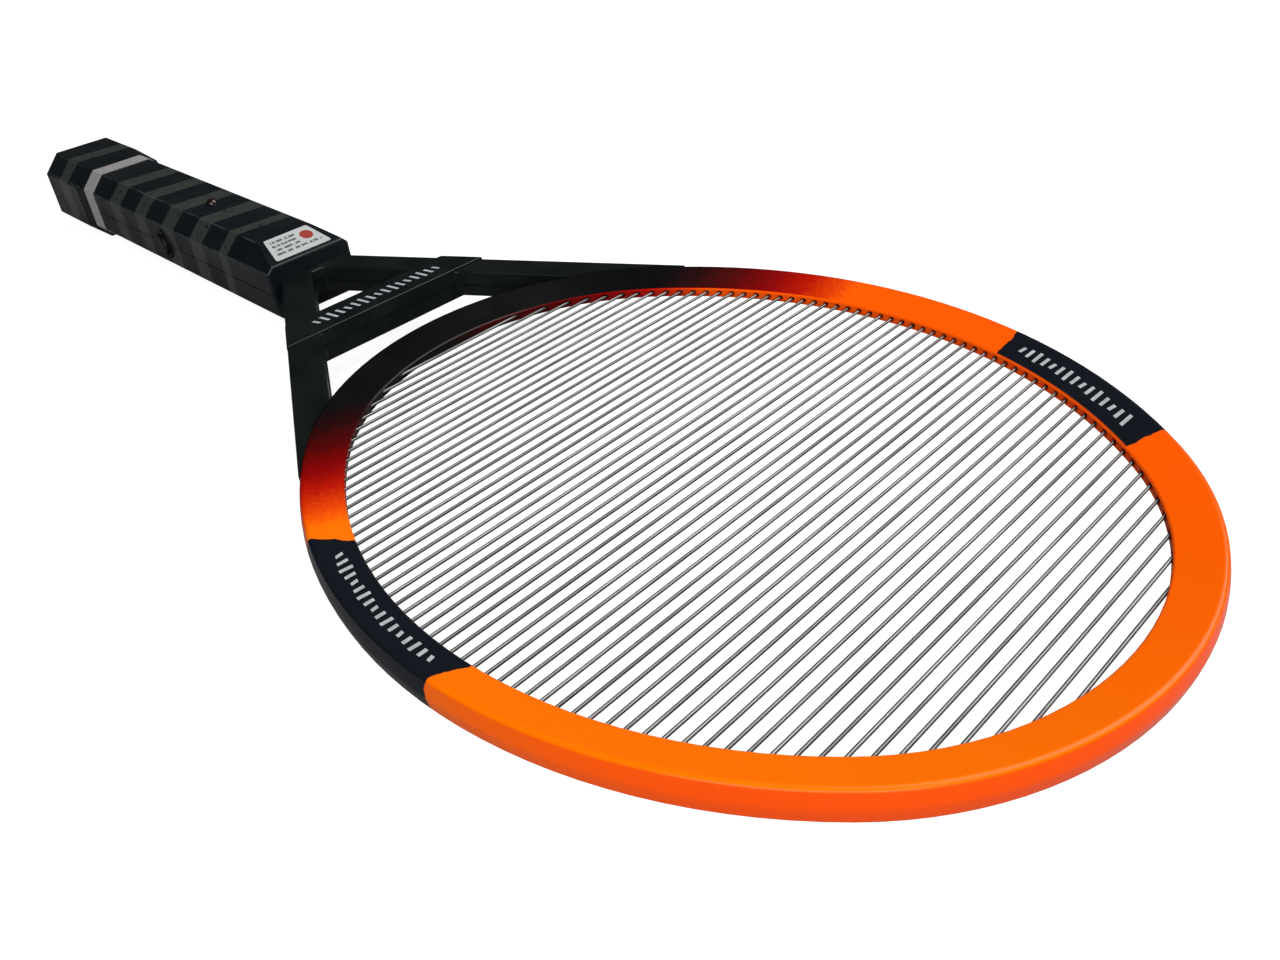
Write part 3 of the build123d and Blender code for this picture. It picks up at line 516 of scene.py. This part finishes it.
lengths = tree.nodes.new("ShaderNodeTexNoise")
lengths.noise_dimensions = "2D"
row_number = calc(tree, "FLOOR", calc(tree, "DIVIDE", x, row_gap))
along_row = tree.nodes.new("ShaderNodeCombineXYZ")
feed(tree, along_row.inputs[0], y)
feed(tree, along_row.inputs[1], row_number)
tree.links.new(along_row.outputs[0], lengths.inputs["Vector"])
lengths.inputs["Scale"].default_value = 620.0
lengths.inputs["Detail"].default_value = 0.0
unbroken = calc(tree, "GREATER_THAN", lengths.outputs["Fac"], 0.44)
bars = 0.0
for row, (start, end) in enumerate(ROWS_MM):
    in_row = use_group(tree, stripe, Along=x, Centre=sticker_low.x + (row + FIRST_ROW) * row_gap,
                       Half_Width=BAR_HALF * row_gap, Softness=0.06 * MM).outputs["Mask"]
    in_length = calc(tree, "MULTIPLY", calc(tree, "GREATER_THAN", y, start * MM),
                     calc(tree, "LESS_THAN", y, end * MM))
    bars = calc(tree, "MAXIMUM", bars, calc(tree, "MULTIPLY", in_row, in_length))
bars = calc(tree, "MULTIPLY", bars, unbroken)
print("rows on the sticker:", len(ROWS_MM), "with a gap of", round(row_gap / MM, 2), "mm")

# %% [markdown]
# The red disc is a distance from its middle, cut off with a soft step. A round gradient texture
# would do too, but the distance is one short sum. It is taken in plan, so on the sticker's gentle
# slope the disc is a twentieth longer than it is wide. The paper is two pale greys clouded together.

# %% Disc and paper
STICKER_WHITE = (0.50, 0.52, 0.51, 1)
STICKER_SHADE = (0.42, 0.44, 0.44, 1)
BAR_GREY = (0.11, 0.11, 0.12, 1)
DISC_RED = (0.30, 0.035, 0.025, 1)
DISC_X, DISC_Y = sticker_low.x + 2.1 * row_gap, 6.3 * MM
DISC_RADIUS, DISC_BLUR = 2.6 * MM, 0.1 * MM

disc_x = calc(tree, "SUBTRACT", x, DISC_X)
disc_y = calc(tree, "SUBTRACT", y, DISC_Y)
disc_away = calc(tree, "SQRT", calc(tree, "ADD", calc(tree, "MULTIPLY", disc_x, disc_x),
                                    calc(tree, "MULTIPLY", disc_y, disc_y)))
off_disc = step_between(tree, disc_away, DISC_RADIUS - DISC_BLUR, DISC_RADIUS + DISC_BLUR)
paper = mix_colour(tree, noise(tree, spot, 240.0, 5.0), STICKER_WHITE, STICKER_SHADE)
colour = mix_colour(tree, bars, paper, BAR_GREY)
tree.links.new(mix_colour(tree, calc(tree, "SUBTRACT", 1.0, off_disc), colour, DISC_RED),
               shader.inputs["Base Color"])
dress(sticker_paper, "sticker")

# %% [markdown]
# ## The steel wires
# Drawn wire carries fine scratches along its length. Scratches could be modelled or bumped, but the
# wires are only a millimetre thick, so noise that is stretched along the wire and mixed into its
# colour is enough.

# %% Drawn steel
def drawn_steel(name, colour, dark, roughness, squeeze):
    """Metal with streaks; squeeze is how fine the noise is along each axis, 1 being full."""
    material, tree, shader, (spot, *_) = start_material(
        name, roughness, 0.10, 0.08, metallic=1.0, ripple_scale=1500.0)
    mapping = tree.nodes.new("ShaderNodeMapping")
    mapping.inputs["Scale"].default_value = squeeze
    tree.links.new(spot, mapping.inputs["Vector"])
    streaks = step_between(tree, noise(tree, mapping.outputs[0], 1200.0, 3.0), 0.3, 0.7)
    tree.links.new(mix_colour(tree, streaks, dark, colour), shader.inputs["Base Color"])
    return material


dress(drawn_steel("grid_wire", (0.25, 0.25, 0.245, 1), (0.12, 0.12, 0.118, 1), 0.40, (1.0, 0.03, 1.0)),
      "live_wires", "earth_wires")
dress(drawn_steel("tinned_strip", (0.62, 0.61, 0.58, 1), (0.45, 0.44, 0.42, 1), 0.3, (0.1, 0.1, 1.0)),
      "live_bus_strip", "earth_bus_strip")
dress(drawn_steel("screw_steel", (0.40, 0.40, 0.41, 1), (0.26, 0.26, 0.27, 1), 0.28, (1.0, 1.0, 0.1)),
      "throat_screws", "handle_screws")
dress(drawn_steel("contact_metal", (0.70, 0.69, 0.66, 1), (0.52, 0.51, 0.49, 1), 0.22, (1.0, 0.2, 1.0)),
      "front_contact", "rear_contact", "cap_contact_plate", "cap_spring")

# %% [markdown]
# ## Button, collar and lamp
# The button and its collar are plain plastic, blacker than the grip. The lamp is a red lens, lit
# from behind only when the button is held, so here it is nearly black. A bright emission would be
# wrong: instead a little transmission lets light sink into it.

# %% Small glossy parts
def plain_plastic(name, colour, lighter, roughness, specular=0.5):
    """One-colour plastic with a faint mottle."""
    material, tree, shader, (spot, *_) = start_material(name, roughness, 0.1, 0.12, specular=specular)
    mottle = step_between(tree, noise(tree, spot, 300.0, 4.0), 0.3, 0.75)
    tree.links.new(mix_colour(tree, mottle, colour, lighter), shader.inputs["Base Color"])
    return material


BUTTON_BLACK, BUTTON_BLACK_DULL = (0.003, 0.004, 0.004, 1), (0.006, 0.007, 0.007, 1)
LAMP_RED, LAMP_RED_DULL = (0.012, 0.003, 0.003, 1), (0.024, 0.006, 0.005, 1)
LAMP_CLEARNESS = 0.35

dress(plain_plastic("button_plastic", BUTTON_BLACK, BUTTON_BLACK_DULL, 0.26, 0.2), "push_button")
dress(plain_plastic("bezel_plastic", BUTTON_BLACK, BUTTON_BLACK_DULL, 0.38, 0.15), "button_bezel")
lamp_lens = plain_plastic("lamp_lens", LAMP_RED, LAMP_RED_DULL, 0.12)
lamp_shader = lamp_lens.node_tree.nodes["Principled BSDF"]
lamp_shader.inputs["Transmission Weight"].default_value = LAMP_CLEARNESS
dress(lamp_lens, "status_light")

# %% [markdown]
# ## What is inside
# The circuit is seen only when the halves are apart, and the cells only when the cap is off, but
# each still gets a finish of its own. A part of one colour needs only the plain plastic above, so
# they are listed in one table and dressed in a loop.

# %% Plain inner parts
for name, colour, lighter, roughness, wears in (
        ("lead_red", (0.40, 0.012, 0.008, 1), (0.50, 0.025, 0.015, 1), 0.42, ("live_lead", "cell_lead")),
        ("lead_black", (0.012, 0.012, 0.013, 1), (0.022, 0.022, 0.023, 1), 0.45, ("earth_lead",)),
        ("ferrite", (0.022, 0.022, 0.024, 1), (0.055, 0.055, 0.060, 1), 0.7, ("transformer_core",)),
        ("film_capacitor", (0.30, 0.045, 0.012, 1), (0.38, 0.065, 0.020, 1), 0.25, ("storage_capacitor",)),
        ("disc_capacitor", (0.03, 0.09, 0.26, 1), (0.05, 0.13, 0.34, 1), 0.35, ("multiplier_capacitors",)),
        ("transistor_body", (0.010, 0.010, 0.011, 1), (0.022, 0.022, 0.024, 1), 0.55, ("transistor",)),
        ("switch_plastic", (0.012, 0.012, 0.013, 1), (0.025, 0.025, 0.027, 1), 0.5,
         ("switch_body", "switch_plunger"))):
    dress(plain_plastic(name, colour, lighter, roughness), *wears)

# %% [markdown]
# Three inner parts have a pattern of their own. The board's tracks are the joints of a brick
# pattern, the coil's turns are a wave across it, and the cells' bright ends are the same stripes as
# on the grip. Modelling each turn of the wire would cost thousands of faces for the same look.

# %% Board, coil and cells
BOARD_GREEN, BOARD_GREEN_LIGHT = (0.012, 0.085, 0.022, 1), (0.018, 0.110, 0.030, 1)
TINNED_TRACK = (0.42, 0.40, 0.36, 1)
TURN_SHADE, TURN_COPPER = (0.16, 0.045, 0.010, 1), (0.50, 0.20, 0.05, 1)
WRAPPER_BLUE, WRAPPER_BLUE_LIGHT = (0.015, 0.030, 0.055, 1), (0.03, 0.05, 0.08, 1)
CELL_METAL = (0.60, 0.59, 0.56, 1)
BARE_REAR, BARE_FRONT, BARE_HALF = 1.2 * MM, 1.5 * MM, 2.2 * MM

board_laminate, tree, shader, (spot, *_) = start_material("board_laminate", 0.35, 0.12, 0.1)
tracks = tree.nodes.new("ShaderNodeTexBrick")
tree.links.new(spot, tracks.inputs["Vector"])
tracks.inputs["Scale"].default_value = 150.0
tracks.inputs["Mortar Size"].default_value = 0.06
tracks.inputs["Color1"].default_value = BOARD_GREEN
tracks.inputs["Color2"].default_value = BOARD_GREEN_LIGHT
tracks.inputs["Mortar"].default_value = TINNED_TRACK
tree.links.new(tracks.outputs["Color"], shader.inputs["Base Color"])
dress(board_laminate, "circuit_board")

coil_winding, tree, shader, (spot, *_) = start_material("coil_winding", 0.3, 0.1, 0.1, coat=0.4)
turns = tree.nodes.new("ShaderNodeTexWave")
turns.bands_direction = "Z"
tree.links.new(spot, turns.inputs["Vector"])
turns.inputs["Scale"].default_value = 900.0
tree.links.new(mix_colour(tree, turns.outputs["Fac"], TURN_SHADE, TURN_COPPER),
               shader.inputs["Base Color"])
dress(coil_winding, "transformer_coil")

cell_can, tree, shader, (spot, x, *_) = start_material("cell_can", 0.28, 0.1, 0.08, metallic=0.5)
bright_ends = 0.0
for cell in ("rear_cell", "front_cell"):
    low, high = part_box(cell)
    for end in (low.x + BARE_REAR, high.x - BARE_FRONT):
        one = use_group(tree, stripe, Along=x, Centre=end, Half_Width=BARE_HALF).outputs["Mask"]
        bright_ends = calc(tree, "MAXIMUM", bright_ends, one)
wrapper = mix_colour(tree, noise(tree, spot, 90.0, 2.0), WRAPPER_BLUE, WRAPPER_BLUE_LIGHT)
tree.links.new(mix_colour(tree, bright_ends, wrapper, CELL_METAL), shader.inputs["Base Color"])
dress(cell_can, "rear_cell", "front_cell")

# %% [markdown]
# Resistors and diodes carry painted rings. Both lie along Y, so one function paints rings at given
# offsets on either, over a body colour that is clouded with its own darker shade.

# %% Colour bands on the small parts
RING_HALF, RING_BLUR = 0.3 * MM, 0.05 * MM
DARKER = 0.8


def banded_body(name, body, bands, piece):
    """A little cylinder along Y with painted rings; bands are (place along Y, colour)."""
    material, tree, shader, (spot, _, y, _) = start_material(name, 0.4, 0.1, 0.1)
    shade = tuple(DARKER * part for part in body[:3]) + (1,)
    colour = mix_colour(tree, noise(tree, spot, 500.0, 3.0), body, shade)
    for place, ring in bands:
        mask = use_group(tree, stripe, Along=y, Centre=place, Half_Width=RING_HALF,
                         Softness=RING_BLUR).outputs["Mask"]
        colour = mix_colour(tree, mask, colour, ring)
    tree.links.new(colour, shader.inputs["Base Color"])
    dress(material, piece)


RESISTOR_Y = sum(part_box("resistors")[i].y for i in (0, 1)) / 2
DIODE_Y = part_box("rectifier_diodes")[1].y - 2.9 * MM
CATHODE_GREY = (0.45, 0.45, 0.45, 1)
banded_body("resistor_body", (0.42, 0.31, 0.16, 1), [
    (RESISTOR_Y - 1.6 * MM, (0.12, 0.03, 0.01, 1)), (RESISTOR_Y - 0.6 * MM, (0.35, 0.02, 0.02, 1)),
    (RESISTOR_Y + 0.4 * MM, (0.01, 0.01, 0.01, 1)), (RESISTOR_Y + 1.6 * MM, (0.40, 0.28, 0.06, 1))],
    "resistors")
banded_body("diode_body", (0.012, 0.012, 0.013, 1), [
    (DIODE_Y - 1.0 * MM, CATHODE_GREY), (-DIODE_Y + 1.0 * MM, CATHODE_GREY)],
    "rectifier_diodes")

# %% [markdown]
# ## Printed marks
# The real bands and crossbar carry a name in pale letters. Here a plain row of slanted dashes takes
# its place. They could be masks in the paint, but each dash has to follow the curve of the rim, so
# it is simpler and crisper to lay them down as thin slips of ink that sit just proud of the surface.

# %% A slip of ink
INK_THICK = 0.06 * MM
INK_SINK = 0.03 * MM


def ink_slips(name, rows, parts):
    """A mesh of thin closed slips; each row is (left edge points, right edge points)."""
    vertices, faces = [], []
    for left, right in rows:
        base = len(vertices)
        for a, b in zip(left, right):
            vertices += [a - Vector((0, 0, INK_SINK)), b - Vector((0, 0, INK_SINK)),
                         a + Vector((0, 0, INK_THICK)), b + Vector((0, 0, INK_THICK))]
        for step in range(parts):
            i = base + 4 * step
            j = i + 4
            faces += [(i + 2, j + 2, j + 3, i + 3), (i, i + 1, j + 1, j), (i, j, j + 2, i + 2),
                      (i + 1, i + 3, j + 3, j + 1)]
        last = base + 4 * parts
        faces += [(base, base + 2, base + 3, base + 1), (last, last + 1, last + 3, last + 2)]
    mesh = bpy.data.meshes.new(name)
    mesh.from_pydata([tuple(v) for v in vertices], [], faces)
    mesh.validate()
    mesh.update()
    piece = bpy.data.objects.new(name, mesh)
    bpy.context.scene.collection.objects.link(piece)
    print(name, "has", len(rows), "slips")
    return piece


print("slips stand", round(INK_THICK / MM, 2), "mm over the face,", round(INK_SINK / MM, 2), "mm into it")

# %% [markdown]
# The rim's face slopes, and the oval is made of arcs, so a helper turns "this far along, this far
# out" into a point on that face. The row's dashes grow and shrink in length, which reads as a
# pattern and as nothing else.

# %% Dashes on the hoop
DASH_SIZES = (0.55, 0.8, 1.0, 0.8)                   # lengths in a row, as shares of the longest
FIRST_DASH = 0.2                                     # where a row's first dash starts, in gaps
DASH_MIDDLE, DASH_HALF = 5.6 * MM, 2.0 * MM          # from the opening outward, and half the longest
DASH_SLANT, DASH_WIDE = 0.35, 0.38                   # in gaps
DASH_PARTS = 3                                       # straight parts in a dash that follows the face
FAR_ROW = (37 * MM, 81 * MM, 15)                     # where it starts and ends along the hoop; dashes
NEAR_ROW = (-49.5 * MM, 2.5 * MM, 17)
INK_GREY, INK_GREY_LIGHT = (0.36, 0.40, 0.42, 1), (0.48, 0.52, 0.54, 1)


def rim_point(x, side, outward):
    """A point on the rim's upper face, x from the hoop's middle, on the +Y or -Y side."""
    y = side * oval_half_width(x, outward)
    return Vector((hoop_x + x, y, MIDDLE_Z + LIP_HALF + FACE_RISE * (outward - FACE_INSET)))


def row_places(start, end, count):
    """Where each dash of a row starts, and its share of the longest dash."""
    pitch = (end - start) / count
    return [(start + (i + FIRST_DASH) * pitch, DASH_SIZES[i % len(DASH_SIZES)]) for i in range(count)]


def hoop_dashes(name, side, start, end, count):
    """Slanted dashes across the rim's face between two places along the hoop."""
    rows = []
    pitch = (end - start) / count
    for x, size in row_places(start, end, count):
        left, right = [], []
        for step in range(DASH_PARTS + 1):
            share = step / DASH_PARTS
            outward = DASH_MIDDLE + DASH_HALF * size * (2 * share - 1)
            left.append(rim_point(x + DASH_SLANT * pitch * share, side, outward))
            right.append(rim_point(x + (DASH_SLANT * share + DASH_WIDE) * pitch, side, outward))
        rows.append((left, right) if side > 0 else (right, left))
    return ink_slips(name, rows, DASH_PARTS)


ink = plain_plastic("print_ink", INK_GREY, INK_GREY_LIGHT, 0.5)
far_marks = hoop_dashes("far_band_marks", 1, *FAR_ROW)
near_marks = hoop_dashes("near_band_marks", -1, *NEAR_ROW)

# %% [markdown]
# The crossbar's face is level and its row is straight, so a dash there is one flat slip. The row
# stands on the highest face of the throat's upper shell, and its dashes lean toward +Y.

# %% Dashes on the crossbar
BAR_MIDDLE, BAR_MARK_HALF, BAR_REACH = -25.75 * MM, 2.7 * MM, 28 * MM
BAR_DASHES = 17
BAR_LEAN, BAR_WIDE = 1.0 * MM, Vector((0, 1.1 * MM, 0))

bar_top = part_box("throat_top_shell")[1].z
bar_rows = []
for y_at, size in row_places(-BAR_REACH, BAR_REACH, BAR_DASHES):
    rear = Vector((BAR_MIDDLE - BAR_MARK_HALF * size, y_at, bar_top))
    front = Vector((BAR_MIDDLE + BAR_MARK_HALF * size, y_at + BAR_LEAN, bar_top))
    bar_rows.append(([rear + BAR_WIDE, front + BAR_WIDE], [rear, front]))
bar_marks = ink_slips("crossbar_marks", bar_rows, 1)
for piece in (far_marks, near_marks, bar_marks):
    piece.data.materials.append(ink)
    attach(piece, "racket")

# %% [markdown]
# ## The floor
# A product shot stands on white. A white floor would throw light up into the dark parts, so this
# one is a mid grey sheet that glows only for rays that come straight from the camera. The Light
# Path node tells those rays apart. Beside that glow the racket's own shadow is barely there.

# %% Floor
FLOOR_SIZE = 12.0
FLOOR_DROP = 0.2 * MM
FLOOR_GLOW = 0.92
FLOOR_GREY, FLOOR_GREY_LIGHT = (0.26, 0.26, 0.26, 1), (0.28, 0.28, 0.28, 1)

bpy.ops.mesh.primitive_plane_add(size=FLOOR_SIZE, location=(0, 0, -FLOOR_DROP))
floor = bpy.context.object
floor.name = "floor"
floor_paint = bpy.data.materials.new("floor_paint")
floor_paint.use_nodes = True
floor_tree = floor_paint.node_tree
floor_shader = floor_tree.nodes["Principled BSDF"]
floor_shader.inputs["Roughness"].default_value = 0.6
floor_shader.inputs["Emission Color"].default_value = (1, 1, 1, 1)
seen_by_camera = floor_tree.nodes.new("ShaderNodeLightPath").outputs["Is Camera Ray"]
glow = calc(floor_tree, "MULTIPLY", seen_by_camera, FLOOR_GLOW)
floor_tree.links.new(glow, floor_shader.inputs["Emission Strength"])
floor_cloud = noise(floor_tree, place_of(floor_tree)[0], 1.3, 2.0)
floor_tree.links.new(mix_colour(floor_tree, floor_cloud, FLOOR_GREY, FLOOR_GREY_LIGHT),
                     floor_shader.inputs["Base Color"])
floor.data.materials.append(floor_paint)
print("floor", FLOOR_SIZE, "m across,", round(FLOOR_DROP / MM, 2), "mm under the racket")

# %% [markdown]
# ## The lights
# Glossy black mirrors whatever is above it, so a bright sky would turn it grey. The key is one big
# soft square over the far side, the fill is a second one on the near side, and the sky gives very
# little light. As with the floor, the sky is white only where the camera looks straight at it.

# %% Lights
KEY_PLACE, KEY_SIZE, KEY_POWER = (0.5, 0.9, 1.3), 1.4, 29
FILL_PLACE, FILL_SIZE, FILL_POWER = (0.9, -0.9, 0.75), 1.2, 18
LIT_POINT = (0.1, 0, 0)
SKY_COLOUR = (0.92, 0.96, 1.0, 1)
SKY_LIGHT, SKY_GLOW = 0.045, 1.0


def soft_light(name, place, size, power):
    """A square soft light aimed at the hoop."""
    data = bpy.data.lights.new(name, "AREA")
    data.size = size
    data.energy = power
    light = bpy.data.objects.new(name, data)
    light.location = place
    light.rotation_euler = (Vector(LIT_POINT) - Vector(place)).to_track_quat("-Z", "Y").to_euler()
    bpy.context.scene.collection.objects.link(light)
    print(name, "light", size, "m wide, power", power)


soft_light("key", KEY_PLACE, KEY_SIZE, KEY_POWER)
soft_light("fill", FILL_PLACE, FILL_SIZE, FILL_POWER)
world = bpy.data.worlds.new("sky")
world.use_nodes = True
world_tree = world.node_tree
sky = world_tree.nodes["Background"]
sky.inputs["Color"].default_value = SKY_COLOUR
sky_seen = world_tree.nodes.new("ShaderNodeLightPath").outputs["Is Camera Ray"]
sky_glow = calc(world_tree, "MULTIPLY", sky_seen, SKY_GLOW)
world_tree.links.new(calc(world_tree, "ADD", SKY_LIGHT, sky_glow), sky.inputs["Strength"])
bpy.context.scene.world = world
